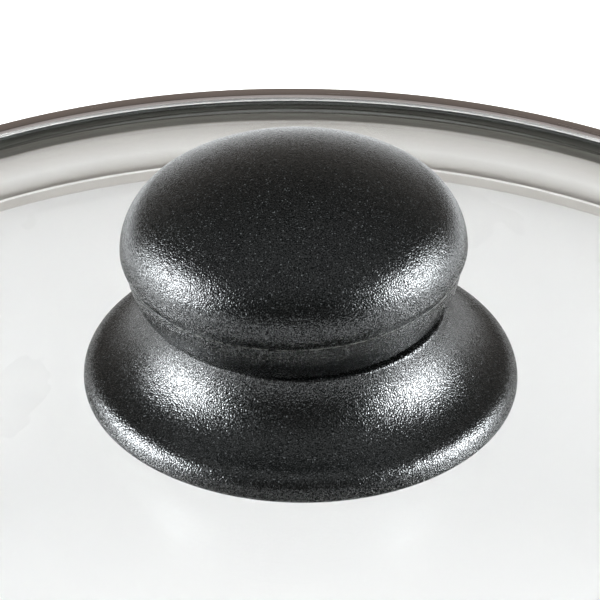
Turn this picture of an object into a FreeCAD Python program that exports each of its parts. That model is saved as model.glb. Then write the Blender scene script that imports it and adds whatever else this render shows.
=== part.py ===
import FreeCAD, Part
import math
import os

# A 20 cm saucepan with a glass lid, in millimetres. +Z is up along the pan's axis, z = 0 is
# the face it stands on, and the long handle points along +X.

os.makedirs("parts", exist_ok=True)
V = FreeCAD.Vector
UP = V(0, 0, 1)

# ---- Pan body ----
PAN_INNER_R = 95.6          # inside radius of the straight wall
PAN_HEIGHT = 90.0           # floor the pan stands on to the top of its lip
PAN_WALL = 2.6
PAN_BOTTOM = 3.0            # metal between the cooking face and the base disc
PAN_CORNER_R = 20.0         # inside radius between the cooking face and the wall
LIP_REACH = 3.8             # how far the lip stands out from the wall
LIP_THICKNESS = 2.2
LIP_UNDER_FILLET = 1.5
MOUTH_ROUND = 1.5           # rounding of the mouth's inner edge

# ---- Base disc ----
DISC_INSET = 0.8            # the disc's edge lies this far inside the start of the round corner
DISC_THICKNESS = 2.0
DISC_CHAMFER = 0.5
DISC_SINK = 0.8             # how deep the disc sits in the pan's underside
DISC_GAP = 0.1
FOOT_RING_WIDTH = 2.8       # ring of the pan's underside around the disc
GROOVE_COUNT = 5
GROOVE_WIDTH = 1.6
GROOVE_DEPTH = 0.4

# ---- Lid glass ----
GLASS_THICKNESS = 4.0
DOME_RISE = 13.65           # flange's top face to the crown of the dome
DOME_FILLET_R = 12.0        # between dome and flange, on the top face
GLASS_HOLE_R = 5.0

# ---- Lid rim, a steel strip folded around the glass edge ----
RIM_OVERHANG = 5.7          # how far the lid reaches out past the pan's inner wall
RIM_STEEL = 0.5
RIM_TOP_WIDTH = 3.4         # band of steel that shows on top of the glass
RIM_LIP_R = 0.8             # outside rounding where the strip turns down onto the glass
RIM_OUTER_ROUND = 1.1
RIM_CORNER_R = 0.8
SKIRT_DEPTH = 8.05          # locating skirt below the rim's seat
SKIRT_PLAY = 1.5            # radial gap between the skirt and the pan's wall
HEM_R = 0.85                # outside radius of the skirt's folded bottom edge
HEM_HEIGHT = 2.0
GLASS_EDGE_GAP = 0.2        # between the glass edge and the steel around it
GLASS_SEAT_GAP = 0.05
LID_SEAT_GAP = 0.3          # between the rim and the pan's lip

# ---- Knob, heights above the face it stands on ----
FLARE_R = 30.35             # outside radius of the flared base
FLARE_LIP_R = 3.0           # rounding that rolls the flare over to its edge
FLARE_EDGE_HEIGHT = 1.2     # where the lip starts, above the glass
FLARE_UNDER_ROUND = 0.9     # rounding below the lip
FLARE_FOOT_SLOPE = 15.0     # degrees from level where the flare meets the lip
FLARE_FOOT_WIDTH = 2.6      # flat ring that stands on the glass
FLARE_TOP_R = 20.2
FLARE_WALL = 2.2
DECK_TOP = 13.4             # flat top of the flared base, under the cap
DECK_THICKNESS = 2.4
DECK_EDGE_ROUND = 0.5
CAP_R = 23.93
CAP_WAIST_R = 20.9          # bottom edge of the cap
CAP_BAND_SAG = 0.5          # how full the cap's lower band is
CAP_WIDEST = 22.0
CAP_TOP = 34.75
CAP_SHOULDER_R = 8.3        # rounding between the crown and the widest line
CAP_PART_R = 23.2           # mould's parting line
CAP_PART = 20.4
CAP_UNDER_SAG = 0.12        # how full the cap is between its widest line and the parting line
FLASH_HEIGHT = 0.07         # thin ridge of flash left along the parting line
FLASH_WIDTH = 0.3
CAP_DECK_GAP = 0.7
CAP_LEAN = 1.65             # degrees the crown leans off the boss, away from the handle
CAP_SHIFT = 0.9             # how far the crown stands off the boss, the same way
CAP_WALL = 3.6
CAP_EDGE_ROUND = 0.3
BOSS_R = 8.6
BOSS_PLAY = 0.2
KNOB_GLASS_GAP = 0.3        # between the flare's lip and the glass

# ---- Knob fastening ----
GASKET_R = 9.0
GASKET_THICKNESS = 1.0
COLLAR_PLAY = 0.2           # between the gasket's collar and the hole in the glass
LOWER_GASKET_THICKNESS = 1.5
KNOB_WASHER_R = 8.0
KNOB_WASHER_THICKNESS = 1.2
LOCK_WASHER_R = 4.6
LOCK_WASHER_THICKNESS = 1.2
LOCK_WASHER_SPLIT = 1.0
SCREW_R = 2.5
SCREW_PLAY = 0.05
SCREW_HEAD_R = 4.75
SCREW_HEAD_HEIGHT = 3.2
SCREW_HEAD_ROUND = 1.2
SCREW_REACH = 9.0           # thread inside the knob's insert
DRIVE_WIDTH = 1.2
DRIVE_LENGTH = 5.0
DRIVE_DEPTH = 1.8
INSERT_FLATS = 7.0
INSERT_LENGTH = 12.0
INSERT_PLAY = 0.03
FACE_GAP = 0.02             # between clamped faces

# ---- Handle, distances along it start at the pan's wall ----
HANDLE_DROP = 19.0          # handle's root on the wall, below the top of the lip
HANDLE_TILT = 9.0           # degrees the handle rises
BRACKET_THICKNESS = 2.5
BRACKET_HALF_HEIGHT = 12.5
BRACKET_HALF_WIDTH = 28.5
BRACKET_CORNER_R = 6.0
TANG_WIDTH = 12.0
TANG_THICKNESS = 6.0
TANG_LENGTH = 54.0
RIVET_OFFSET = 22.5         # each rivet's distance from the handle's plane
RIVET_R = 2.5
RIVET_HEAD_R = 4.5
RIVET_HEAD_HEIGHT = 1.6
RIVET_PLAY = 0.05
GUARD_STEEL = 0.8
GUARD_END = 27.0            # where the guard meets the grip
GUARD_ROOT_HALF = (17.5, 14.0)
GUARD_WALL_GAP = 0.4
SPIGOT_LENGTH = 7.0
GRIP_END = 182.0
GRIP_ROOT_HALF = (15.0, 11.5)
GRIP_END_HALF = (14.0, 8.5)
GRIP_WAIST = 1.2            # how much slimmer the grip's middle is, all round
GRIP_TIP_LENGTH = 16.0      # the part of the grip that rounds off to its end
GRIP_ARCH = 3.0             # how far the grip's middle bows up
GRIP_STATIONS = 8           # sections along the grip before its tip
TIP_STATIONS = 5
SECTION_POWER = 2.5         # fullness of the grip's section: 2 is an ellipse
SECTION_POLES = 16
GRIP_PLAY = 0.15
GRIP_SCREW_AT = 44.0
GRIP_SCREW_SEAT = 6.5       # below the handle's axis
GRIP_SCREW_HEAD_R = 4.6
GRIP_SCREW_HEAD_HEIGHT = 3.0
GRIP_WASHER_R = 5.0
GRIP_WASHER_THICKNESS = 1.0
HANG_HOLE_AT = 165.0
HANG_HOLE_R = 5.5
HANG_PAD_R = 8.5            # flat ring around the hanging hole
HANG_PAD_THICKNESS = 9.0

# ---- Places that follow from the sizes above ----
PAN_OUTER_R = PAN_INNER_R + PAN_WALL
DISC_R = PAN_INNER_R - PAN_CORNER_R - DISC_INSET
COOKING_FACE = DISC_THICKNESS + PAN_BOTTOM
CORNER_CENTRE = (PAN_INNER_R - PAN_CORNER_R, COOKING_FACE + PAN_CORNER_R)
LIP_R = PAN_OUTER_R + LIP_REACH
HANDLE_HEIGHT = PAN_HEIGHT - HANDLE_DROP
RIVET_ANGLE = math.degrees(math.asin(RIVET_OFFSET / PAN_OUTER_R))
RIM_R = PAN_INNER_R + RIM_OVERHANG
RIM_SEAT = PAN_HEIGHT + LID_SEAT_GAP
SKIRT_R = PAN_INNER_R - SKIRT_PLAY
FLANGE_UNDER = RIM_SEAT + RIM_STEEL + GLASS_SEAT_GAP
FLANGE_TOP = FLANGE_UNDER + GLASS_THICKNESS
RIM_TOP = FLANGE_TOP + GLASS_SEAT_GAP + RIM_LIP_R
RIM_INNER_R = RIM_R - RIM_TOP_WIDTH
GLASS_R = RIM_R - RIM_STEEL - GLASS_EDGE_GAP
DOME_FOOT_R = RIM_INNER_R - RIM_STEEL
DOME_R = (DOME_FOOT_R ** 2 + DOME_RISE ** 2 - 2 * DOME_FILLET_R * DOME_RISE) / (2 * DOME_RISE)
CROWN = FLANGE_TOP + DOME_RISE
DOME_CENTRE = CROWN - DOME_R


def dome_drop(radius, dome_radius=DOME_R):
    """How far the dome has fallen below its crown at a radius."""
    return dome_radius - math.sqrt(dome_radius ** 2 - radius ** 2)


KNOB_SEAT = CROWN - dome_drop(FLARE_R - FLARE_FOOT_WIDTH) + KNOB_GLASS_GAP
BOSS_BOTTOM = CROWN + GASKET_THICKNESS + 2 * FACE_GAP
GLASS_UNDER = CROWN - GLASS_THICKNESS - dome_drop(GASKET_R, DOME_R - GLASS_THICKNESS)
LOWER_GASKET_UNDER = GLASS_UNDER - FACE_GAP - LOWER_GASKET_THICKNESS
KNOB_WASHER_UNDER = LOWER_GASKET_UNDER - FACE_GAP - KNOB_WASHER_THICKNESS
LOCK_WASHER_UNDER = KNOB_WASHER_UNDER - FACE_GAP - LOCK_WASHER_THICKNESS
SCREW_SEAT = LOCK_WASHER_UNDER - FACE_GAP


# ---- Drawing helpers ----
def polar(centre, radius, degrees):
    """Point of a circle in the profile plane; 0 degrees points away from the axis."""
    angle = math.radians(degrees)
    return (centre[0] + radius * math.cos(angle), centre[1] + radius * math.sin(angle))


def on_profile(pair):
    return V(pair[0], 0, pair[1])


def path_edges(steps):
    """Edges of a path: a pair is the end of a line, a pair of pairs is an arc's middle and end."""
    edges = []
    here = steps[0]
    for step in steps[1:]:
        if isinstance(step[0], tuple):
            middle, end = step
            edges.append(Part.Arc(on_profile(here), on_profile(middle), on_profile(end)).toShape())
        else:
            end = step
            edges.append(Part.makeLine(on_profile(here), on_profile(end)))
        here = end
    return edges


def turned(*steps):
    """Solid of revolution about the pan's axis from a closed path."""
    face = Part.Face(Part.Wire(path_edges(steps + (steps[0],))))
    return face.revolve(V(0, 0, 0), UP, 360)


def turned_by_quarters(face):
    """Full turn of a face about the pan's axis, as four joined quarters."""
    quarter = face.revolve(V(0, 0, 0), UP, 90)
    others = [quarter.rotated(V(0, 0, 0), UP, 90 * number) for number in (1, 2, 3)]
    return quarter.fuse(others).Solids[0]


def ring(inner_r, outer_r, bottom, top):
    return turned((inner_r, bottom), (outer_r, bottom), (outer_r, top), (inner_r, top))


def rod(radius, bottom, top):
    circle = Part.makeCircle(radius, V(0, 0, bottom))
    return Part.Face(Part.Wire(circle)).extrude(V(0, 0, top - bottom))


def block(low, high):
    """Box between two corners."""
    size = V(*high) - V(*low)
    return Part.makeBox(size.x, size.y, size.z, V(*low))


def rounded_block(low, high, radius):
    """Box with the four edges that run along X rounded."""
    box = block(low, high)
    edges = [edge for edge in box.Edges if abs(edge.tangentAt(edge.FirstParameter).x) > 0.5]
    return box.makeFillet(radius, edges)


def sag_point(start, end, sag):
    """Middle of an arc that bows to the left of the line from start to end."""
    along = (end[0] - start[0], end[1] - start[1])
    length = math.hypot(*along)
    middle = ((start[0] + end[0]) / 2, (start[1] + end[1]) / 2)
    return (middle[0] - sag * along[1] / length, middle[1] + sag * along[0] / length)


def export(name, *solids):
    """Write one node, which holds one solid or a group of equal ones."""
    shape = solids[0] if len(solids) == 1 else Part.makeCompound(list(solids))
    shape.exportStep("parts/" + name + ".step")


# ---- Pan ----
def on_rivet_axis(shape, side):
    """Turn a shape drawn along +Z onto the axis of the rivet on one side of the handle."""
    outwards = FreeCAD.Rotation(V(0, 1, 0), 90)
    around = FreeCAD.Rotation(UP, side * RIVET_ANGLE)
    shape.Placement = FreeCAD.Placement(V(0, 0, HANDLE_HEIGHT), around.multiply(outwards))
    return shape


def rivet_hole(side):
    return on_rivet_axis(rod(RIVET_R + RIVET_PLAY, PAN_INNER_R / 2, LIP_R), side)


def pan_body():
    """Pressed bowl: straight wall, round corner, turned-out lip and a seat for the base disc."""
    outer_corner_r = PAN_CORNER_R + PAN_WALL
    foot_in = DISC_R + DISC_GAP
    foot_out = foot_in + FOOT_RING_WIDTH
    foot_face = DISC_THICKNESS - DISC_SINK
    foot_angle = -math.degrees(math.acos((foot_out - CORNER_CENTRE[0]) / outer_corner_r))
    lip_under = PAN_HEIGHT - LIP_THICKNESS
    lip_centre = (LIP_R - LIP_THICKNESS / 2, PAN_HEIGHT - LIP_THICKNESS / 2)
    under_centre = (PAN_OUTER_R + LIP_UNDER_FILLET, lip_under - LIP_UNDER_FILLET)
    mouth_centre = (PAN_INNER_R + MOUTH_ROUND, PAN_HEIGHT - MOUTH_ROUND)
    body = turned(
        (0, DISC_THICKNESS),
        (foot_in, DISC_THICKNESS),
        (foot_in, foot_face),
        (foot_out, foot_face),
        polar(CORNER_CENTRE, outer_corner_r, foot_angle),
        (polar(CORNER_CENTRE, outer_corner_r, foot_angle / 2), polar(CORNER_CENTRE, outer_corner_r, 0)),
        (PAN_OUTER_R, under_centre[1]),
        (polar(under_centre, LIP_UNDER_FILLET, 135), (under_centre[0], lip_under)),
        (lip_centre[0], lip_under),
        (polar(lip_centre, LIP_THICKNESS / 2, 0), (lip_centre[0], PAN_HEIGHT)),
        (mouth_centre[0], PAN_HEIGHT),
        (polar(mouth_centre, MOUTH_ROUND, 135), (PAN_INNER_R, mouth_centre[1])),
        (PAN_INNER_R, CORNER_CENTRE[1]),
        (polar(CORNER_CENTRE, PAN_CORNER_R, -45), (CORNER_CENTRE[0], COOKING_FACE)),
        (0, COOKING_FACE))
    for side in (-1, 1):
        body = body.cut(rivet_hole(side))
    return body


def base_disc():
    """Steel disc that the pan stands on, with turned grooves in its face."""
    disc = turned(
        (0, 0),
        (DISC_R - DISC_CHAMFER, 0),
        (DISC_R, DISC_CHAMFER),
        (DISC_R, DISC_THICKNESS),
        (0, DISC_THICKNESS))
    spacing = DISC_R / (GROOVE_COUNT + 1)
    for number in range(1, GROOVE_COUNT + 1):
        inner = number * spacing
        disc = disc.cut(ring(inner, inner + GROOVE_WIDTH, -1, GROOVE_DEPTH))
    return disc


# ---- Lid ----
def lid_glass():
    """Domed glass with a flat flange and a ground round edge."""
    fillet_centre = (DOME_FOOT_R, FLANGE_TOP + DOME_FILLET_R)
    lean = 90 - math.degrees(math.asin(DOME_FOOT_R / (DOME_R + DOME_FILLET_R)))
    edge_r = GLASS_THICKNESS / 2
    edge_centre = (GLASS_R - edge_r, FLANGE_TOP - edge_r)
    inner_dome_r = DOME_R - GLASS_THICKNESS
    under_fillet_r = DOME_FILLET_R + GLASS_THICKNESS
    half_lean = (90 + lean) / 2
    fillet_lean = lean - 180
    fillet_mid = (fillet_lean - 90) / 2
    dome_centre = (0, DOME_CENTRE)
    return turned(
        (GLASS_HOLE_R, CROWN - dome_drop(GLASS_HOLE_R)),
        (polar(dome_centre, DOME_R, half_lean), polar(dome_centre, DOME_R, lean)),
        (polar(fillet_centre, DOME_FILLET_R, fillet_mid), (DOME_FOOT_R, FLANGE_TOP)),
        (edge_centre[0], FLANGE_TOP),
        (polar(edge_centre, edge_r, 0), (edge_centre[0], FLANGE_UNDER)),
        (DOME_FOOT_R, FLANGE_UNDER),
        (polar(fillet_centre, under_fillet_r, fillet_mid), polar(dome_centre, inner_dome_r, lean)),
        (polar(dome_centre, inner_dome_r, half_lean),
         (GLASS_HOLE_R, DOME_CENTRE + inner_dome_r - dome_drop(GLASS_HOLE_R, inner_dome_r))))


def lid_rim():
    """Folded strip: top band, outer wall, seat, locating skirt and the hem at its foot."""
    lip_centre = (RIM_INNER_R + RIM_LIP_R, RIM_TOP - RIM_LIP_R)
    outer_centre = (RIM_R - RIM_OUTER_ROUND, RIM_TOP - RIM_OUTER_ROUND)
    seat_centre = (RIM_R - RIM_CORNER_R, RIM_SEAT + RIM_CORNER_R)
    corner_centre = (SKIRT_R + RIM_CORNER_R, RIM_SEAT - RIM_CORNER_R)
    hem_centre = (SKIRT_R - HEM_R, RIM_SEAT - SKIRT_DEPTH + HEM_R)
    outer_face = [
        (RIM_INNER_R, lip_centre[1]),
        (polar(lip_centre, RIM_LIP_R, 135), (lip_centre[0], RIM_TOP)),
        (outer_centre[0], RIM_TOP),
        (polar(outer_centre, RIM_OUTER_ROUND, 45), (RIM_R, outer_centre[1])),
        (RIM_R, seat_centre[1]),
        (polar(seat_centre, RIM_CORNER_R, -45), (seat_centre[0], RIM_SEAT)),
        (corner_centre[0], RIM_SEAT),
        (polar(corner_centre, RIM_CORNER_R, 135), (SKIRT_R, corner_centre[1])),
        (SKIRT_R, hem_centre[1]),
        (polar(hem_centre, HEM_R, -90), (SKIRT_R - 2 * HEM_R, hem_centre[1])),
        (SKIRT_R - 2 * HEM_R, RIM_SEAT - SKIRT_DEPTH + HEM_HEIGHT)]
    strip = Part.Wire(path_edges(outer_face)).makeOffset2D(-RIM_STEEL, 0, True, True)
    return turned_by_quarters(strip)


# ---- Knob ----
def flare_curve(start, leaving, end):
    """Middle and end of the arc that leaves a point square to a direction and reaches an end."""
    normal = polar((0, 0), 1, leaving)
    reach = (end[0] - start[0], end[1] - start[1])
    across = reach[0] * normal[0] + reach[1] * normal[1]
    radius = (reach[0] ** 2 + reach[1] ** 2) / (2 * across)
    centre = polar(start, radius, leaving)
    first = leaving + 180
    last = math.degrees(math.atan2(end[1] - centre[1], end[0] - centre[0])) % 360
    return polar(centre, radius, (first + last) / 2), end


def knob_flare():
    """Hollow flared base: a rolled lip, a trumpet curve and a flat deck that the cap sits on."""
    lip_centre = (FLARE_R - FLARE_LIP_R, KNOB_SEAT + FLARE_EDGE_HEIGHT)
    under_centre = (FLARE_R - FLARE_UNDER_ROUND, KNOB_SEAT + FLARE_UNDER_ROUND)
    leaving = 90 - FLARE_FOOT_SLOPE
    foot = polar(lip_centre, FLARE_LIP_R, leaving)
    deck = KNOB_SEAT + DECK_TOP
    deck_under = deck - DECK_THICKNESS
    edge_centre = (FLARE_TOP_R - DECK_EDGE_ROUND, deck - DECK_EDGE_ROUND)
    neck = (FLARE_TOP_R, edge_centre[1])
    inner_foot = polar(foot, -FLARE_WALL, leaving)
    inner_neck = (FLARE_TOP_R - FLARE_WALL, deck_under)
    bore_r = BOSS_R + BOSS_PLAY
    return turned(
        (FLARE_R - FLARE_FOOT_WIDTH, KNOB_SEAT),
        (under_centre[0], KNOB_SEAT),
        (polar(under_centre, FLARE_UNDER_ROUND, -45), (FLARE_R, under_centre[1])),
        (FLARE_R, lip_centre[1]),
        (polar(lip_centre, FLARE_LIP_R, leaving / 2), foot),
        flare_curve(foot, leaving, neck),
        (polar(edge_centre, DECK_EDGE_ROUND, 45), (edge_centre[0], deck)),
        (bore_r, deck),
        (bore_r, deck_under),
        inner_neck,
        (flare_curve(inner_foot, leaving, inner_neck)[0], inner_foot))


def cap_crown(radius, rise, shoulder_r, widest):
    """Arc middles and ends from the top of a crowned cap down to its widest line."""
    crown_r = ((radius - shoulder_r) ** 2 + rise ** 2 - shoulder_r ** 2) / (2 * (rise - shoulder_r))
    crown_centre = (0, widest + rise - crown_r)
    shoulder_centre = (radius - shoulder_r, widest)
    tangent = math.degrees(math.atan2(widest - crown_centre[1], shoulder_centre[0]))
    return [
        (polar(crown_centre, crown_r, (90 + tangent) / 2), polar(crown_centre, crown_r, tangent)),
        (polar(shoulder_centre, shoulder_r, tangent / 2), (radius, widest))]


def hexagon(across_flats, bottom, top):
    corner_r = across_flats / math.sqrt(3)
    corners = [V(*polar((0, 0), corner_r, 60 * number), bottom) for number in range(7)]
    return Part.Face(Part.makePolygon(corners)).extrude(V(0, 0, top - bottom))


def cap_shell():
    """Crowned shell of the cap, hollow from below, square to the knob's axis."""
    widest = KNOB_SEAT + CAP_WIDEST
    top = KNOB_SEAT + CAP_TOP
    part_line = KNOB_SEAT + CAP_PART
    bottom = KNOB_SEAT + DECK_TOP + CAP_DECK_GAP
    under_round = ((CAP_R + CAP_PART_R) / 2 + CAP_UNDER_SAG, (widest + part_line) / 2)
    flash_low = (CAP_PART_R - FLASH_HEIGHT / 2, part_line - FLASH_WIDTH)
    band_end = (CAP_WAIST_R, bottom + CAP_EDGE_ROUND)
    edge_centre = (CAP_WAIST_R - CAP_EDGE_ROUND, bottom + CAP_EDGE_ROUND)
    cavity_r = CAP_WAIST_R - CAP_WALL
    cavity_top = top - 2 * CAP_WALL
    return turned(
        (0, top),
        *cap_crown(CAP_R, CAP_TOP - CAP_WIDEST, CAP_SHOULDER_R, widest),
        (under_round, (CAP_PART_R, part_line)),
        (CAP_PART_R + FLASH_HEIGHT, part_line - FLASH_WIDTH / 2),
        flash_low,
        (sag_point(flash_low, band_end, CAP_BAND_SAG), band_end),
        (polar(edge_centre, CAP_EDGE_ROUND, -45), (edge_centre[0], bottom)),
        (cavity_r, bottom),
        (cavity_r, widest),
        (cavity_r - CAP_WALL, cavity_top),
        (0, cavity_top))


def knob_cap():
    """Leaning crown on an upright boss that takes the insert."""
    shell = cap_shell()
    shell.rotate(V(0, 0, KNOB_SEAT + DECK_TOP), V(0, 1, 0), -CAP_LEAN)
    shell.translate(V(-CAP_SHIFT, 0, 0))
    boss = rod(BOSS_R, BOSS_BOTTOM, KNOB_SEAT + CAP_TOP - CAP_WALL)
    pocket = hexagon(INSERT_FLATS + 2 * INSERT_PLAY, BOSS_BOTTOM - 1,
                     BOSS_BOTTOM + INSERT_LENGTH + INSERT_PLAY)
    return shell.fuse(boss).cut(pocket)


def knob_insert():
    """Hexagonal brass bush with the knob's thread."""
    bush = hexagon(INSERT_FLATS, BOSS_BOTTOM, BOSS_BOTTOM + INSERT_LENGTH)
    return bush.cut(rod(SCREW_R + SCREW_PLAY, BOSS_BOTTOM - 1, BOSS_BOTTOM + INSERT_LENGTH + 1))


def upper_gasket():
    """Soft washer on the glass, with a collar that keeps the screw off the hole's edge."""
    collar_r = GLASS_HOLE_R - COLLAR_PLAY
    bore_r = SCREW_R + SCREW_PLAY
    flange_under = CROWN + FACE_GAP
    return turned(
        (bore_r, GLASS_UNDER),
        (collar_r, GLASS_UNDER),
        (collar_r, flange_under),
        (GASKET_R, flange_under),
        (GASKET_R, flange_under + GASKET_THICKNESS),
        (bore_r, flange_under + GASKET_THICKNESS))


def lock_washer():
    """Split spring washer."""
    washer = ring(SCREW_R + SCREW_PLAY, LOCK_WASHER_R, LOCK_WASHER_UNDER,
                  LOCK_WASHER_UNDER + LOCK_WASHER_THICKNESS)
    half = LOCK_WASHER_SPLIT / 2
    split = block((0, -half, LOCK_WASHER_UNDER - 1), (LOCK_WASHER_R + 1, half, SCREW_SEAT + 2))
    return washer.cut(split)


def drive_cross(face):
    """Cross-shaped recess that opens downwards from the face of a screw head."""
    long_half = DRIVE_LENGTH / 2
    short_half = DRIVE_WIDTH / 2
    top = face + DRIVE_DEPTH
    one = block((-long_half, -short_half, face - 1), (long_half, short_half, top))
    other = block((-short_half, -long_half, face - 1), (short_half, long_half, top))
    return one.fuse(other)


def screw(head_r, head_height, seat, tip):
    """Pan-head screw that points up from its seat."""
    face = seat - head_height
    head_centre = (head_r - SCREW_HEAD_ROUND, face + SCREW_HEAD_ROUND)
    body = turned(
        (0, face),
        (head_centre[0], face),
        (polar(head_centre, SCREW_HEAD_ROUND, -45), (head_r, head_centre[1])),
        (head_r, seat),
        (SCREW_R, seat),
        (SCREW_R, tip - SCREW_R / 2),
        (SCREW_R / 2, tip),
        (0, tip))
    return body.cut(drive_cross(face))


def knob_screw():
    return screw(SCREW_HEAD_R, SCREW_HEAD_HEIGHT, SCREW_SEAT, BOSS_BOTTOM + SCREW_REACH)


# ---- Handle, drawn along +X from the origin and then set on the wall ----
HANDLE_PLACEMENT = FreeCAD.Placement(
    V(PAN_OUTER_R, 0, HANDLE_HEIGHT), FreeCAD.Rotation(V(0, 1, 0), -HANDLE_TILT))


def on_handle(shape):
    placed = shape.copy()
    placed.Placement = HANDLE_PLACEMENT.multiply(placed.Placement)
    return placed


def rounded(value, power):
    return math.copysign(abs(value) ** (2 / power), value)


def section(along, half_width, half_height, rise=0.0):
    """Closed rounded section across the handle."""
    poles = []
    for number in range(SECTION_POLES):
        angle = 2 * math.pi * number / SECTION_POLES
        poles.append(V(along, half_width * rounded(math.cos(angle), SECTION_POWER),
                       rise + half_height * rounded(math.sin(angle), SECTION_POWER)))
    curve = Part.BSplineCurve()
    curve.buildFromPoles(poles, True, 3)
    return Part.Wire(curve.toShape())


def grip_middle(along):
    """Height of the grip's bowed middle line above the handle's axis."""
    return GRIP_ARCH * math.sin(math.pi * (along - GUARD_END) / (GRIP_END - GUARD_END))


def grip_section(along):
    share = (along - GUARD_END) / (GRIP_END - GUARD_END)
    into_tip = max(0.0, 1 - (GRIP_END - along) / GRIP_TIP_LENGTH)
    kept = math.sqrt(1 - into_tip ** 2)
    waist = GRIP_WAIST * math.sin(math.pi * share)
    halves = [(root + share * (end - root) - waist) * kept
              for root, end in zip(GRIP_ROOT_HALF, GRIP_END_HALF)]
    return section(along, *halves, grip_middle(along))


def grip_shape():
    """Outside of the grip, from where it meets the guard to its rounded end."""
    tip_start = GRIP_END - GRIP_TIP_LENGTH
    spacing = (tip_start - GUARD_END) / GRIP_STATIONS
    places = [GUARD_END + number * spacing for number in range(GRIP_STATIONS + 1)]
    for number in range(1, TIP_STATIONS + 1):
        turn = math.pi / 2 * number / (TIP_STATIONS + 1)
        places.append(tip_start + GRIP_TIP_LENGTH * math.sin(turn))
    return Part.makeLoft([grip_section(along) for along in places], True, False)


def guard_cavity(play=0.0):
    """Space inside the flame guard, made smaller all round by play."""
    shrink = GUARD_STEEL + play
    root_width, root_height = GUARD_ROOT_HALF
    end_width, end_height = GRIP_ROOT_HALF
    return Part.makeLoft([
        section(-root_height, root_width - shrink, root_height - shrink),
        section(GUARD_END, end_width - shrink, end_height - shrink)], True, True)


def flame_guard():
    """Tapered steel sleeve between the wall's bracket and the grip."""
    root_height = GUARD_ROOT_HALF[1]
    sleeve = Part.makeLoft([
        section(-root_height, *GUARD_ROOT_HALF),
        section(GUARD_END - FACE_GAP, *GRIP_ROOT_HALF)], True, True)
    wall_clear = rod(PAN_OUTER_R + BRACKET_THICKNESS + GUARD_WALL_GAP, 0, PAN_HEIGHT)
    return on_handle(sleeve.cut(guard_cavity())).cut(wall_clear)


def tang(play=0.0, length=TANG_LENGTH):
    half = TANG_WIDTH / 2 + play
    thick = TANG_THICKNESS / 2 + play
    return block((0, -half, -thick), (length + play, half, thick))


def handle_bracket():
    """Curved plate on the wall with a tang that carries the grip."""
    low = HANDLE_HEIGHT - BRACKET_HALF_HEIGHT
    high = HANDLE_HEIGHT + BRACKET_HALF_HEIGHT
    plate = ring(PAN_OUTER_R + FACE_GAP, PAN_OUTER_R + BRACKET_THICKNESS, low - 1, high + 1)
    plate = plate.common(rounded_block(
        (0, -BRACKET_HALF_WIDTH, low), (LIP_R, BRACKET_HALF_WIDTH, high), BRACKET_CORNER_R))
    arm = on_handle(tang()).cut(rod(PAN_OUTER_R + BRACKET_THICKNESS / 2, 0, PAN_HEIGHT))
    bracket = plate.fuse(arm).removeSplitter()
    for side in (-1, 1):
        bracket = bracket.cut(rivet_hole(side))
    return bracket.cut(on_handle(grip_screw_hole(SCREW_R + SCREW_PLAY)))


def rivet(side):
    """Flat-headed rivet through the wall and the bracket."""
    wall_bow = PAN_INNER_R - math.sqrt(PAN_INNER_R ** 2 - RIVET_HEAD_R ** 2)
    inner = PAN_INNER_R - wall_bow - FACE_GAP
    outer = PAN_OUTER_R + BRACKET_THICKNESS + FACE_GAP
    edge = RIVET_HEAD_HEIGHT / 3
    body = turned(
        (0, inner - RIVET_HEAD_HEIGHT),
        (RIVET_HEAD_R - 2 * edge, inner - RIVET_HEAD_HEIGHT),
        (RIVET_HEAD_R, inner - edge),
        (RIVET_HEAD_R, inner),
        (RIVET_R, inner),
        (RIVET_R, outer),
        (RIVET_HEAD_R, outer),
        (RIVET_HEAD_R, outer + edge),
        (RIVET_HEAD_R - 2 * edge, outer + RIVET_HEAD_HEIGHT),
        (0, outer + RIVET_HEAD_HEIGHT))
    return on_rivet_axis(body, side)


def grip_screw_hole(radius, bottom=-TANG_THICKNESS):
    hole = rod(radius, bottom, TANG_THICKNESS)
    hole.translate(V(GRIP_SCREW_AT, 0, 0))
    return hole


def handle_grip():
    """Moulded grip: spigot in the guard, socket for the tang, screw well and hanging hole."""
    spigot = guard_cavity(GRIP_PLAY).common(
        block((GUARD_END - SPIGOT_LENGTH, -GUARD_ROOT_HALF[0], -GUARD_ROOT_HALF[1]),
              (GUARD_END, GUARD_ROOT_HALF[0], GUARD_ROOT_HALF[1])))
    grip = grip_shape().fuse(spigot)
    well = rod(GRIP_WASHER_R + GRIP_PLAY, -3 * GRIP_SCREW_SEAT, -GRIP_SCREW_SEAT)
    well.translate(V(GRIP_SCREW_AT, 0, 0))
    far = GRIP_ROOT_HALF[1] * 2
    middle = grip_middle(HANG_HOLE_AT)
    hang_hole = rod(HANG_HOLE_R, -far, far)
    upper_pad = rod(HANG_PAD_R, middle + HANG_PAD_THICKNESS / 2, far)
    lower_pad = rod(HANG_PAD_R, -far, middle - HANG_PAD_THICKNESS / 2)
    for cutter in (hang_hole, upper_pad, lower_pad):
        cutter.translate(V(HANG_HOLE_AT, 0, 0))
        grip = grip.cut(cutter)
    grip = grip.cut(tang(GRIP_PLAY)).cut(well)
    return on_handle(grip.cut(grip_screw_hole(SCREW_R + GRIP_PLAY, -2 * TANG_THICKNESS)))


def grip_washer():
    washer = ring(SCREW_R + SCREW_PLAY, GRIP_WASHER_R,
                  -GRIP_SCREW_SEAT - FACE_GAP - GRIP_WASHER_THICKNESS, -GRIP_SCREW_SEAT - FACE_GAP)
    washer.translate(V(GRIP_SCREW_AT, 0, 0))
    return on_handle(washer)


def grip_screw():
    seat = -GRIP_SCREW_SEAT - 2 * FACE_GAP - GRIP_WASHER_THICKNESS
    body = screw(GRIP_SCREW_HEAD_R, GRIP_SCREW_HEAD_HEIGHT, seat, TANG_THICKNESS - 2 * GRIP_PLAY)
    body.translate(V(GRIP_SCREW_AT, 0, 0))
    return on_handle(body)


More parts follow.
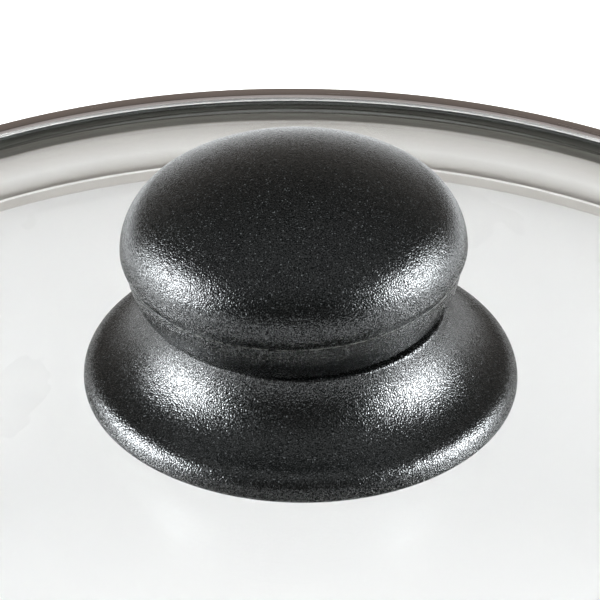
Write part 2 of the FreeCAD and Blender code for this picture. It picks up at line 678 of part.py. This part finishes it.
export("pan_body", pan_body())
export("base_disc", base_disc())
export("handle_bracket", handle_bracket())
export("bracket_rivets", rivet(-1), rivet(1))
export("flame_guard", flame_guard())
export("handle_grip", handle_grip())
export("grip_washer", grip_washer())
export("grip_screw", grip_screw())
export("lid_glass", lid_glass())
export("lid_rim", lid_rim())
export("knob_flare", knob_flare())
export("knob_cap", knob_cap())
export("knob_insert", knob_insert())
export("upper_gasket", upper_gasket())
export("lower_gasket", ring(SCREW_R + SCREW_PLAY, GASKET_R, LOWER_GASKET_UNDER,
                            LOWER_GASKET_UNDER + LOWER_GASKET_THICKNESS))
export("knob_washer", ring(SCREW_R + SCREW_PLAY, KNOB_WASHER_R, KNOB_WASHER_UNDER,
                           KNOB_WASHER_UNDER + KNOB_WASHER_THICKNESS))
export("lock_washer", lock_washer())
export("knob_screw", knob_screw())
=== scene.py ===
import math

import bpy
import numpy as np
from mathutils import Matrix, Vector


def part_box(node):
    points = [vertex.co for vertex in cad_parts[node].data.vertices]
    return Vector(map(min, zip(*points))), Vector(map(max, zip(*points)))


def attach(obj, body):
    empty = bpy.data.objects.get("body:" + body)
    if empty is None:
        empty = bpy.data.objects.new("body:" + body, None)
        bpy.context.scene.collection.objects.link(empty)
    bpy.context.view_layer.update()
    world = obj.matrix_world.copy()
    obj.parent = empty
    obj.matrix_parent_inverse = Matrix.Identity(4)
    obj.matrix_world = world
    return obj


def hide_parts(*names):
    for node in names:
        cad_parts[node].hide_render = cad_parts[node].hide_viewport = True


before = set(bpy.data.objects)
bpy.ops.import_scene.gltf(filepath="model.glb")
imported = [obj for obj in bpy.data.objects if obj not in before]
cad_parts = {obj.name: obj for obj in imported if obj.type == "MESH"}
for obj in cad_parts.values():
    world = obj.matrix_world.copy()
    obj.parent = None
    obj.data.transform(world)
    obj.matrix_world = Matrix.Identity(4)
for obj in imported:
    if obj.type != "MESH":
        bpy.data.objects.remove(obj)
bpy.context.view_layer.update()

# ---- Places taken from the frame, in metres ----
knob_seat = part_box("knob_flare")[0].z
pan_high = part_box("pan_body")[1]
rim_low, rim_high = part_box("lid_rim")
flange_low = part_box("lid_glass")[0].z
lip_radius = pan_high.y
rim_radius = rim_high.y

# ---- Construction sizes that the turned pieces and the finishes follow ----
LIP_TO_INNER = 0.0064       # pan's lip to the inside of its wall
COOKING_FACE = 0.005        # height of the pan's floor
COAT_MARGIN = 0.0006
PARTING_LINE = 0.02025      # above the knob's seat, on the cap before it leans
CAP_PIVOT = 0.0134          # above the knob's seat
CAP_LEAN = math.radians(1.65)
CAP_SHIFT = 0.0009
RIM_STEEL = 0.0005
LID_SEAT_GAP = 0.0003       # between the rim and the pan's lip
RIM_TOP_WIDTH = 0.0034
RIM_LIP_R = 0.0008
RIM_OUTER_ROUND = 0.0011
RIM_CORNER_R = 0.0008
SKIRT_INSET = 0.0072        # rim's outer edge to the skirt
HEM_R = 0.00085
HEM_HEIGHT = 0.0020
GLASS_THICKNESS = 0.004
GLASS_INSET = 0.0007        # rim's outer edge to the edge of the glass
DOME_RISE = 0.01365
DOME_FILLET_R = 0.012
GLASS_HOLE_R = 0.005

# ---- How finely the turned pieces are cut ----
TURNS = 480                 # segments around a turned piece
BEND_STEPS = 10             # points along each curve of a profile
HEM_STEPS = 16
FILLET_STEPS = 14
DOME_STEPS = 40
SMOOTH_BELOW = math.radians(50)

# ---- Finishes, in metres, with noise scales per metre ----
NOISE_SPREAD = (0.3, 0.7)   # where most of a noise's values lie
GRAIN_SCALE = 4600.0        # spark-eroded grain of the mouldings
GRAIN_DEPTH = 0.00008
GLINT_SCALE = 6000.0
# size of the pale flecks painted on the mouldings as glints
PAINTED_GLINT_SCALE = 4200.0
WAVE_SCALE = 1300.0         # slower unevenness under the grain
WAVE_DEPTH = 0.00003
GRAZING = (0.70, 0.97)      # the glint weakens between these shares of edge-on view
STREAK_SCALE = 3500.0       # across the rolling or brushing direction
STREAKS_AROUND = 5.0        # along the rim, per radian
STREAKS_ALONG = 120.0       # along the handle
RIM_STREAK_DEPTH = 0.00001
BRUSH_DEPTH = 0.000015
RING_SCALE = 9000.0         # turning rings of the base, in radians per metre
RING_DEPTH = 0.00001
COAT_FLECK_SCALE = 2600.0
COAT_DEPTH = 0.00003
GLASS_IOR = 1.52
GLASS_WAVE_SCALE = 14.0
GLASS_WAVE_DEPTH = 0.0002
GLASS_TINT_DENSITY = 4.5
RUBBER_SCALE = 3000.0
RUBBER_DEPTH = 0.00003
EDGE_SOFTNESS = 0.0001
CHANNEL_BEND = 0.0005       # how far the painted shade in the channel runs down the bend below the seat
LIP_HIGHLIGHT = (0.00010, 0.00028)     # painted highlight on the rim's lip fades between these, from its inner edge
SKIRT_MIDDLE = 0.0045       # above the rim's lowest point, where the painted sheen on the skirt peaks
SKIRT_TOP_FADE = 0.0004     # the skirt's painted sheen ends this far below the seat
SCRAPED_EDGE = (0.00005, 0.00013)   # half widths of the parting line's pale streak
DULL_EDGE = (0.00006, 0.00018)      # and of the strip around it that doesn't glint

# ---- Camera ----
VIEW_ELEVATION = math.radians(33.15)
VIEW_DISTANCE = 0.580
VIEW_LENS = 251.7
VIEW_ROLL = math.radians(0.61)
VIEW_PIVOT = 0.015          # height above the knob's seat that the camera circles
VIEW_AIM = Vector((-0.0002, 0.0, knob_seat + 0.01307))


def make_camera():
    data = bpy.data.cameras.new("camera")
    data.lens = VIEW_LENS
    data.sensor_width = 36.0
    data.clip_start = 0.01
    data.clip_end = 50.0
    camera = bpy.data.objects.new("camera", data)
    bpy.context.scene.collection.objects.link(camera)
    place = Vector((0.0, -VIEW_DISTANCE * math.cos(VIEW_ELEVATION),
                    knob_seat + VIEW_PIVOT + VIEW_DISTANCE * math.sin(VIEW_ELEVATION)))
    turn = (VIEW_AIM - place).to_track_quat("-Z", "Y").to_matrix().to_4x4()
    camera.matrix_world = Matrix.Translation(place) @ turn @ Matrix.Rotation(VIEW_ROLL, 4, "Z")
    bpy.context.scene.camera = camera


# ---- Turned pieces ----
def arc(centre, radius, first, last, steps=BEND_STEPS):
    """Points of an arc in the profile plane, from one angle to another in degrees."""
    points = []
    for step in range(steps + 1):
        angle = math.radians(first + (last - first) * step / steps)
        points.append((centre[0] + radius * math.cos(angle), centre[1] + radius * math.sin(angle)))
    return points


def strip(line, thickness):
    """Outline of a strip of sheet whose outside face is the line; it thickens to the right."""
    faces = np.array(line)
    along = np.diff(faces, axis=0)
    along /= np.linalg.norm(along, axis=1)[:, None]
    ahead = np.vstack([along, along[-1:]])
    behind = np.vstack([along[:1], along])
    mean = ahead + behind
    mean /= np.linalg.norm(mean, axis=1)[:, None]
    inner = faces + thickness * np.column_stack([mean[:, 1], -mean[:, 0]])
    return [tuple(point) for point in np.vstack([faces, inner[::-1]])]


def turned(name, outline):
    """Mesh of revolution about the pan's axis from a closed outline of radii and heights."""
    count = len(outline)
    vertices = []
    for turn in range(TURNS):
        angle = 2 * math.pi * turn / TURNS
        vertices += [(r * math.cos(angle), r * math.sin(angle), z) for r, z in outline]
    faces = []
    for turn in range(TURNS):
        here, there = turn * count, (turn + 1) % TURNS * count
        for point in range(count):
            after = (point + 1) % count
            faces.append((here + point, here + after, there + after, there + point))
    mesh = bpy.data.meshes.new(name)
    mesh.from_pydata(vertices, [], faces)
    mesh.shade_smooth()
    mesh.set_sharp_from_angle(angle=SMOOTH_BELOW)
    piece = bpy.data.objects.new(name, mesh)
    bpy.context.scene.collection.objects.link(piece)
    return piece


def rim_outline():
    """Folded strip: inner lip, top band, outer wall, seat, locating skirt and hem."""
    seat = pan_high.z + LID_SEAT_GAP
    inner = rim_radius - RIM_TOP_WIDTH
    skirt = rim_radius - SKIRT_INSET
    hem_end = skirt - 2 * HEM_R
    line = [(inner, rim_high.z - RIM_LIP_R)]
    line += arc((inner + RIM_LIP_R, rim_high.z - RIM_LIP_R), RIM_LIP_R, 180, 90)[1:]
    line += arc((rim_radius - RIM_OUTER_ROUND, rim_high.z - RIM_OUTER_ROUND), RIM_OUTER_ROUND, 90, 0)
    line += arc((rim_radius - RIM_CORNER_R, seat + RIM_CORNER_R), RIM_CORNER_R, 0, -90)
    line += arc((skirt + RIM_CORNER_R, seat - RIM_CORNER_R), RIM_CORNER_R, 90, 180)
    line += arc((skirt - HEM_R, rim_low.z + HEM_R), HEM_R, 0, -180, HEM_STEPS)
    line.append((hem_end, rim_low.z + HEM_HEIGHT))
    return strip(line, RIM_STEEL)


def glass_outline():
    """Dome, fillet, flange with a ground round edge, and the same curves underneath."""
    flange_top = flange_low + GLASS_THICKNESS
    foot = rim_radius - RIM_TOP_WIDTH - RIM_STEEL
    dome_r = (foot ** 2 + DOME_RISE ** 2 - 2 * DOME_FILLET_R * DOME_RISE) / (2 * DOME_RISE)
    dome_centre = (0.0, flange_top + DOME_RISE - dome_r)
    fillet_centre = (foot, flange_top + DOME_FILLET_R)
    inner_r = dome_r - GLASS_THICKNESS
    lean = math.degrees(math.acos(foot / (dome_r + DOME_FILLET_R)))
    top, under_top = (math.degrees(math.acos(GLASS_HOLE_R / radius)) for radius in (dome_r, inner_r))
    edge_r = GLASS_THICKNESS / 2
    edge_centre = (rim_radius - GLASS_INSET - edge_r, flange_low + edge_r)
    outline = arc(dome_centre, dome_r, top, lean, DOME_STEPS)
    outline += arc(fillet_centre, DOME_FILLET_R, lean - 180, -90, FILLET_STEPS)[1:]
    outline += arc(edge_centre, edge_r, 90, -90, FILLET_STEPS)
    outline += arc(fillet_centre, DOME_FILLET_R + GLASS_THICKNESS, -90, lean - 180, FILLET_STEPS)
    return outline + arc(dome_centre, inner_r, lean, under_top, DOME_STEPS)[1:]


def make_lid_shells():
    """The rim and the glass, turned finer than the frame holds them."""
    shells = (("rim", rim_outline(), rim_steel(), "rim_steel"),
              ("glass", glass_outline(), lid_glass(), "lid_glass"))
    for name, outline, material, slot in shells:
        piece = turned(name + "_fine", outline)
        piece.data.materials.append(material)
        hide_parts("lid_" + name)
        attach(piece, "lid")


# ---- Node helpers ----
def rgb(red, green, blue):
    return (red, green, blue, 1.0)


def grey(value):
    return rgb(value, value, value)


class Nodes:
    """A node tree, with short calls for the nodes used here."""

    def __init__(self, tree):
        self.tree = tree

    def node(self, kind, **settings):
        node = self.tree.nodes.new("ShaderNode" + kind)
        for key, value in settings.items():
            setattr(node, key, value)
        return node

    def feed(self, socket, value):
        """Link an output into the socket, or set the socket to a plain value."""
        if hasattr(value, "is_output"):
            self.tree.links.new(value, socket)
        else:
            socket.default_value = value

    def math(self, operation, first, second=0.0, clamped=False):
        node = self.node("Math", operation=operation, use_clamp=clamped)
        self.feed(node.inputs[0], first)
        self.feed(node.inputs[1], second)
        return node.outputs[0]

    def plus(self, first, second):
        return self.math("ADD", first, second)

    def minus(self, first, second):
        return self.math("SUBTRACT", first, second)

    def times(self, first, second):
        return self.math("MULTIPLY", first, second)

    def below(self, value, limit):
        return self.math("LESS_THAN", value, limit)

    def beyond(self, value, limit):
        return self.math("GREATER_THAN", value, limit)

    def either(self, first, second):
        return self.math("MAXIMUM", first, second)

    def size_of(self, value):
        return self.math("ABSOLUTE", value)

    def range(self, value, low, high, to_low, to_high):
        node = self.node("MapRange")
        for socket, number in zip(node.inputs, (value, low, high, to_low, to_high)):
            self.feed(socket, number)
        return node.outputs[0]

    def rise(self, value, low, high):
        return self.range(value, low, high, 0.0, 1.0)

    def fall(self, value, low, high):
        return self.range(value, low, high, 1.0, 0.0)

    def split(self, vector):
        node = self.node("SeparateXYZ")
        self.feed(node.inputs[0], vector)
        return node.outputs

    def join(self, x, y, z):
        node = self.node("CombineXYZ")
        for socket, value in zip(node.inputs, (x, y, z)):
            self.feed(socket, value)
        return node.outputs[0]


class Finish(Nodes):
    """A material's nodes, placed by the object's own coordinates."""

    def __init__(self, name):
        self.material = bpy.data.materials.new(name)
        self.material.use_nodes = True
        super().__init__(self.material.node_tree)
        self.shader = self.tree.nodes["Principled BSDF"]
        self.place = self.node("TexCoord").outputs["Object"]

    def set(self, **values):
        """Set or link the shader's sockets; underscores stand for spaces."""
        for key, value in values.items():
            self.feed(self.shader.inputs[key.replace("_", " ")], value)

    def noise(self, scale, detail=2.0, roughness=0.5, at=None):
        node = self.node("TexNoise")
        self.feed(node.inputs["Vector"], at or self.place)
        node.inputs["Scale"].default_value = scale
        node.inputs["Detail"].default_value = detail
        node.inputs["Roughness"].default_value = roughness
        return node.outputs["Fac"]

    def streaks(self, x, y, z):
        return self.noise(1.0, 3.0, 0.6, self.join(x, y, z))

    def spread(self, noise, low, high):
        """The noise's usual values, stretched from low to high."""
        return self.range(noise, *NOISE_SPREAD, low, high)

    def mix(self, factor, first, second):
        node = self.node("Mix", data_type="RGBA")
        for name, value in (("Factor", factor), ("A", first), ("B", second)):
            sockets = [s for s in node.inputs if s.name == name and s.enabled]
            self.feed(sockets[0], value)
        return [s for s in node.outputs if s.enabled][0]

    def around(self):
        """Distance from the pan's axis, angle around it, and height."""
        x, y, z = self.split(self.place)
        radius = self.math("POWER", self.plus(self.times(x, x), self.times(y, y)), 0.5)
        return radius, self.math("ARCTAN2", y, x), z

    def bump(self, height, distance, strength=1.0, under=None):
        node = self.node("Bump")
        node.inputs["Strength"].default_value = strength
        node.inputs["Distance"].default_value = distance
        self.feed(node.inputs["Height"], height)
        if under is not None:
            self.feed(node.inputs["Normal"], under)
        return node.outputs["Normal"]


# ---- Materials ----
def phenolic(name, sparkle, parted=False):
    """Charcoal moulding with a fine spark-eroded grain and sparse pale flecks painted as glints; the cap is
    scraped pale along its parting line.
    """
    g = Finish(name)
    grain = g.noise(GRAIN_SCALE, 0.5)
    glint = g.range(g.noise(GLINT_SCALE, 0.5), 0.33, 0.71, 0.05, sparkle)
    edge_on = g.node("LayerWeight").outputs["Facing"]
    glint = g.times(glint, g.range(edge_on, *GRAZING, 1.0, 0.25))
    fleck_and_painted_glint = g.rise(g.noise(PAINTED_GLINT_SCALE, 0.0), 0.74, 0.80)
    tone = g.spread(g.noise(60.0, 3.0), 0.0, 1.0)
    colour = g.mix(tone, rgb(0.0009, 0.0011, 0.0011), rgb(0.0016, 0.0019, 0.0018))
    # sparse pale flecks painted into the colour as glints
    colour = g.mix(fleck_and_painted_glint, colour, rgb(0.05, 0.052, 0.052))
    if parted:
        away = from_parting_line(g)
        ragged = g.times(g.rise(g.noise(1500.0), 0.36, 0.56), g.range(g.noise(220.0), 0.32, 0.55, 0.1, 1.0))
        scraped = g.times(ragged, g.fall(away, *SCRAPED_EDGE))
        colour = g.mix(scraped, colour, rgb(0.085, 0.085, 0.078))
        glint = g.times(glint, g.range(away, *DULL_EDGE, 0.05, 1.0))
    waves = g.bump(g.noise(WAVE_SCALE, 1.0), WAVE_DEPTH, 0.5)
    g.set(Base_Color=colour, Roughness=g.spread(grain, 0.20, 0.30), Specular_IOR_Level=glint,
          Normal=g.bump(grain, GRAIN_DEPTH, 1.0, waves))
    return g.material


def from_parting_line(g):
    """Distance from the leaning cap's parting plane."""
    x, _, z = g.split(g.place)
    above = g.minus(z, knob_seat + CAP_PIVOT)
    upright = g.minus(g.times(above, math.cos(CAP_LEAN)), g.times(g.plus(x, CAP_SHIFT), math.sin(CAP_LEAN)))
    return g.size_of(g.minus(upright, PARTING_LINE - CAP_PIVOT))


def rim_zones(g, radius, z, seat):
    """Masks for the painted shade in the channel under the glass, the painted highlight on the lip, the
    painted light on the hem's top edge, the skirt, and the painted sheen on the skirt's middle.
    """
    inner = rim_radius - RIM_TOP_WIDTH
    channel_foot = seat - CHANNEL_BEND
    in_height = g.times(g.rise(z, channel_foot, channel_foot + EDGE_SOFTNESS),
                        g.below(z, rim_high.z - RIM_STEEL / 2))
    past_lip = g.either(g.beyond(radius, inner + RIM_LIP_R + EDGE_SOFTNESS), g.below(z, seat + RIM_STEEL))
    channel_shade = g.times(g.times(in_height, past_lip), g.below(radius, rim_radius - RIM_STEEL / 2))
    lip = g.times(g.beyond(z, flange_low + GLASS_THICKNESS),
                  g.fall(radius, inner + LIP_HIGHLIGHT[0], inner + LIP_HIGHLIGHT[1]))
    hem_top = rim_low.z + HEM_HEIGHT
    hem_edge_light = g.times(g.below(g.size_of(g.minus(z, hem_top)), EDGE_SOFTNESS),
                       g.below(radius, rim_radius - SKIRT_INSET - HEM_R))
    skirt = g.below(z, seat - RIM_STEEL)
    middle = rim_low.z + SKIRT_MIDDLE
    skirt_sheen = g.times(g.rise(z, hem_top, middle), g.fall(z, middle, seat - SKIRT_TOP_FADE))
    return channel_shade, lip, hem_edge_light, skirt, skirt_sheen


def rim_steel():
    """Rolled steel, warm on top, with a painted highlight on the lip, painted light on the hem's edge, a
    painted sheen on the skirt, and painted shade where the glass sits in the channel.
    """
    g = Finish("rim_steel")
    radius, angle, z = g.around()
    streak = g.streaks(g.times(angle, STREAKS_AROUND), g.times(radius, STREAK_SCALE),
                       g.times(z, STREAK_SCALE))
    seat = pan_high.z + LID_SEAT_GAP + RIM_STEEL
    channel_shade, lip, hem_edge_light, skirt, skirt_sheen = rim_zones(g, radius, z, seat)
    colour = g.mix(g.spread(g.noise(45.0, 3.0), 0.0, 1.0), rgb(0.56, 0.49, 0.46), rgb(0.66, 0.58, 0.55))
    colour = g.mix(skirt, colour, rgb(0.57, 0.55, 0.52))
    # painted sheen across the middle of the skirt
    colour = g.mix(skirt_sheen, colour, rgb(0.90, 0.90, 0.88))
    # painted highlight along the rim's lip
    colour = g.mix(lip, colour, rgb(0.80, 0.78, 0.76))
    # painted light on the hem's top edge, lifting the dark line there
    colour = g.mix(hem_edge_light, colour, rgb(0.78, 0.78, 0.76))
    # painted shade where the glass sits in the channel, streaked
    dark = g.mix(g.rise(streak, 0.35, 0.65), rgb(0.010, 0.015, 0.011), rgb(0.040, 0.050, 0.041))
    dull = g.plus(g.times(g.either(channel_shade, hem_edge_light), 0.8), g.plus(g.times(lip, 0.12), g.times(skirt, 0.4)))
    g.set(Base_Color=g.mix(channel_shade, colour, dark), Metallic=g.fall(dull, 0.0, 1.0),
          Specular_IOR_Level=g.range(channel_shade, 0.0, 1.0, 0.5, 0.12),
          Roughness=g.plus(g.spread(streak, 0.16, 0.28), g.times(g.plus(channel_shade, skirt), 0.25)),
          Normal=g.bump(streak, RIM_STREAK_DEPTH, 0.4))
    return g.material


def lid_glass():
    """Clear glass with a faint waviness, grey-green in its depth."""
    g = Finish("lid_glass")
    g.set(Base_Color=grey(1.0), Transmission_Weight=1.0, IOR=GLASS_IOR,
          Roughness=g.range(g.noise(90.0, 4.0), 0.35, 0.75, 0.008, 0.015),
          Normal=g.bump(g.noise(GLASS_WAVE_SCALE, 1.0), GLASS_WAVE_DEPTH, 0.05))
    body = g.node("VolumeAbsorption")
    body.inputs["Color"].default_value = rgb(0.74, 0.80, 0.77)
    body.inputs["Density"].default_value = GLASS_TINT_DENSITY
    g.feed(g.tree.nodes["Material Output"].inputs["Volume"], body.outputs[0])
    return g.material


def pan_coat():
    """White ceramic inside and over the lip, satin charcoal coating outside."""
    g = Finish("pan_coat")
    radius, _, z = g.around()
    inside = g.times(g.below(radius, lip_radius - LIP_TO_INNER + COAT_MARGIN),
                     g.beyond(z, COOKING_FACE - COAT_MARGIN))
    white = g.either(inside, g.beyond(z, pan_high.z - COAT_MARGIN))
    cloud = g.noise(35.0, 4.0)
    fleck_and_painted_glint = g.noise(COAT_FLECK_SCALE)
    ceramic = g.mix(g.spread(cloud, 0.0, 1.0), rgb(0.884, 0.884, 0.879), rgb(0.888, 0.888, 0.883))
    charcoal = g.mix(g.rise(fleck_and_painted_glint, 0.55, 0.75), rgb(0.012, 0.0125, 0.0135), rgb(0.030, 0.031, 0.033))
    g.set(Base_Color=g.mix(white, charcoal, ceramic),
          Roughness=g.plus(g.times(white, -0.12), g.spread(cloud, 0.39, 0.41)),
          Normal=g.bump(fleck_and_painted_glint, COAT_DEPTH, 0.35))
    return g.material


def base_steel():
    """Steel disc with fine turning rings."""
    g = Finish("base_steel")
    radius = g.around()[0]
    rings = g.math("SINE", g.times(radius, RING_SCALE))
    scuff = g.noise(55.0, 4.0, 0.6)
    g.set(Base_Color=g.mix(scuff, rgb(0.50, 0.49, 0.47), rgb(0.66, 0.65, 0.63)), Metallic=1.0,
          Roughness=g.spread(scuff, 0.26, 0.42), Normal=g.bump(rings, RING_DEPTH, 0.5))
    return g.material


def brushed(name, low, high, rough=(0.22, 0.36)):
    """Metal brushed along the handle, its colour between low and high."""
    g = Finish(name)
    x, y, z = g.split(g.place)
    streak = g.streaks(g.times(x, STREAKS_ALONG), g.times(y, STREAK_SCALE), g.times(z, STREAK_SCALE))
    g.set(Base_Color=g.mix(g.noise(80.0, 3.0), low, high), Metallic=1.0,
          Roughness=g.spread(streak, *rough), Normal=g.bump(streak, BRUSH_DEPTH, 0.5))
    return g.material


def silicone():
    """Pale grey silicone."""
    g = Finish("silicone")
    cloud = g.noise(300.0, 3.0)
    g.set(Base_Color=g.mix(cloud, rgb(0.55, 0.56, 0.56), rgb(0.68, 0.69, 0.69)),
          Roughness=g.spread(cloud, 0.42, 0.55), Normal=g.bump(g.noise(RUBBER_SCALE), RUBBER_DEPTH, 0.4))
    return g.material


def dress(material, *nodes):
    for name in nodes:
        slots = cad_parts[name].data.materials
        slots.clear()
        slots.append(material)


def dress_all():
    dress(phenolic("phenolic", 1.15), "knob_flare", "handle_grip")
    dress(phenolic("phenolic_cap", 0.88, parted=True), "knob_cap")
    dress(pan_coat(), "pan_body")
    dress(base_steel(), "base_disc")
    dress(brushed("guard_steel", rgb(0.56, 0.55, 0.53), rgb(0.66, 0.65, 0.63)), "flame_guard")
    dress(brushed("bracket_steel", rgb(0.48, 0.48, 0.47), rgb(0.58, 0.57, 0.56), (0.3, 0.42)),
          "handle_bracket")
    dress(brushed("rivet_metal", rgb(0.72, 0.72, 0.71), rgb(0.80, 0.80, 0.79)), "bracket_rivets")
    dress(brushed("fastener_steel", rgb(0.58, 0.58, 0.58), rgb(0.68, 0.68, 0.69)),
          "grip_screw", "grip_washer", "knob_screw", "lock_washer", "knob_washer")
    dress(brushed("brass", rgb(0.70, 0.52, 0.24), rgb(0.80, 0.62, 0.32)), "knob_insert")
    dress(silicone(), "upper_gasket", "lower_gasket")


# ---- Stage ----
FLOOR_HALF = 6.0
LIGHT_COLOUR = (0.95, 1.0, 1.03)
SIDE_SIZE = (0.66, 0.55)
SIDE_DISTANCE = 1.05
ROOM_COLOUR = rgb(0.13, 0.12, 0.11)
ROOM_STRENGTH = 0.75
ROOM_GLOW = 2.5             # added low down behind the pan
BACKDROP_STRENGTH = 1.0
INSIDE_STRENGTH = 2.75      # for light that reaches the white inside through the glass


def make_floor():
    mesh = bpy.data.meshes.new("floor")
    corners = [(-FLOOR_HALF, -FLOOR_HALF, 0), (FLOOR_HALF, -FLOOR_HALF, 0),
               (FLOOR_HALF, FLOOR_HALF, 0), (-FLOOR_HALF, FLOOR_HALF, 0)]
    mesh.from_pydata(corners, [], [(0, 1, 2, 3)])
    floor = bpy.data.objects.new("floor", mesh)
    bpy.context.scene.collection.objects.link(floor)
    g = Finish("floor")
    g.set(Base_Color=grey(0.92), Roughness=0.7, Emission_Color=grey(1.0), Emission_Strength=0.5)
    mesh.materials.append(g.material)


def soft_light(name, azimuth, elevation, distance, size, radiance, mirrored=True):
    """Softbox at a bearing from the knob, as bright as its radiance says, not seen through the glass."""
    data = bpy.data.lights.new(name, "AREA")
    data.shape = "RECTANGLE"
    data.size, data.size_y = size
    data.energy = radiance * math.pi * size[0] * size[1]
    data.color = LIGHT_COLOUR
    light = bpy.data.objects.new(name, data)
    light.visible_glossy = mirrored
    light.visible_transmission = False
    bpy.context.scene.collection.objects.link(light)
    aim = Vector((0.0, 0.0, knob_seat))
    across, up = math.radians(azimuth), math.radians(elevation)
    light.location = aim + distance * Vector((math.cos(up) * math.cos(across),
                                              math.cos(up) * math.sin(across), math.sin(up)))
    light.rotation_euler = (aim - light.location).to_track_quat("-Z", "Y").to_euler()


def make_lights():
    soft_light("left", 184.0, 16.5, SIDE_DISTANCE, SIDE_SIZE, 34.0)
    soft_light("right", 356.0, 16.5, SIDE_DISTANCE, SIDE_SIZE, 33.0)
    soft_light("front", 270.0, 38.0, 1.3, (0.8, 0.8), 5.0, mirrored=False)
    soft_light("over", 270.0, 85.0, 1.5, (2.0, 2.0), 0.42)


def backdrop(g, colour, strength):
    node = g.node("Background")
    node.inputs["Color"].default_value = colour
    g.feed(node.inputs["Strength"], strength)
    return node.outputs[0]


def make_world():
    """White to look at and to light the pan through the glass, and a dim warm room to be mirrored."""
    world = bpy.data.worlds.new("world")
    world.use_nodes = True
    g = Nodes(world.node_tree)
    path = g.node("LightPath").outputs
    scattered = g.math("MINIMUM", path["Is Transmission Ray"], path["Diffuse Depth"], clamped=True)
    clear = g.math("SUBTRACT", path["Is Transmission Ray"], path["Glossy Depth"], clamped=True)
    seen = g.either(path["Is Camera Ray"], clear)
    _, y, z = g.split(g.node("TexCoord").outputs["Generated"])
    low_behind = g.math("SUBTRACT", y, g.size_of(z), clamped=True)
    shader = backdrop(g, ROOM_COLOUR, g.plus(g.times(low_behind, ROOM_GLOW), ROOM_STRENGTH))
    for amount, strength in ((seen, BACKDROP_STRENGTH), (scattered, INSIDE_STRENGTH)):
        mix = g.node("MixShader")
        g.feed(mix.inputs["Fac"], amount)
        g.feed(mix.inputs[1], shader)
        g.feed(mix.inputs[2], backdrop(g, grey(1.0), strength))
        shader = mix.outputs[0]
    g.feed(g.tree.nodes["World Output"].inputs["Surface"], shader)
    bpy.context.scene.world = world


bpy.context.scene.view_settings.view_transform = "Standard"
make_camera()
make_floor()
make_lights()
make_world()
make_lid_shells()
dress_all()
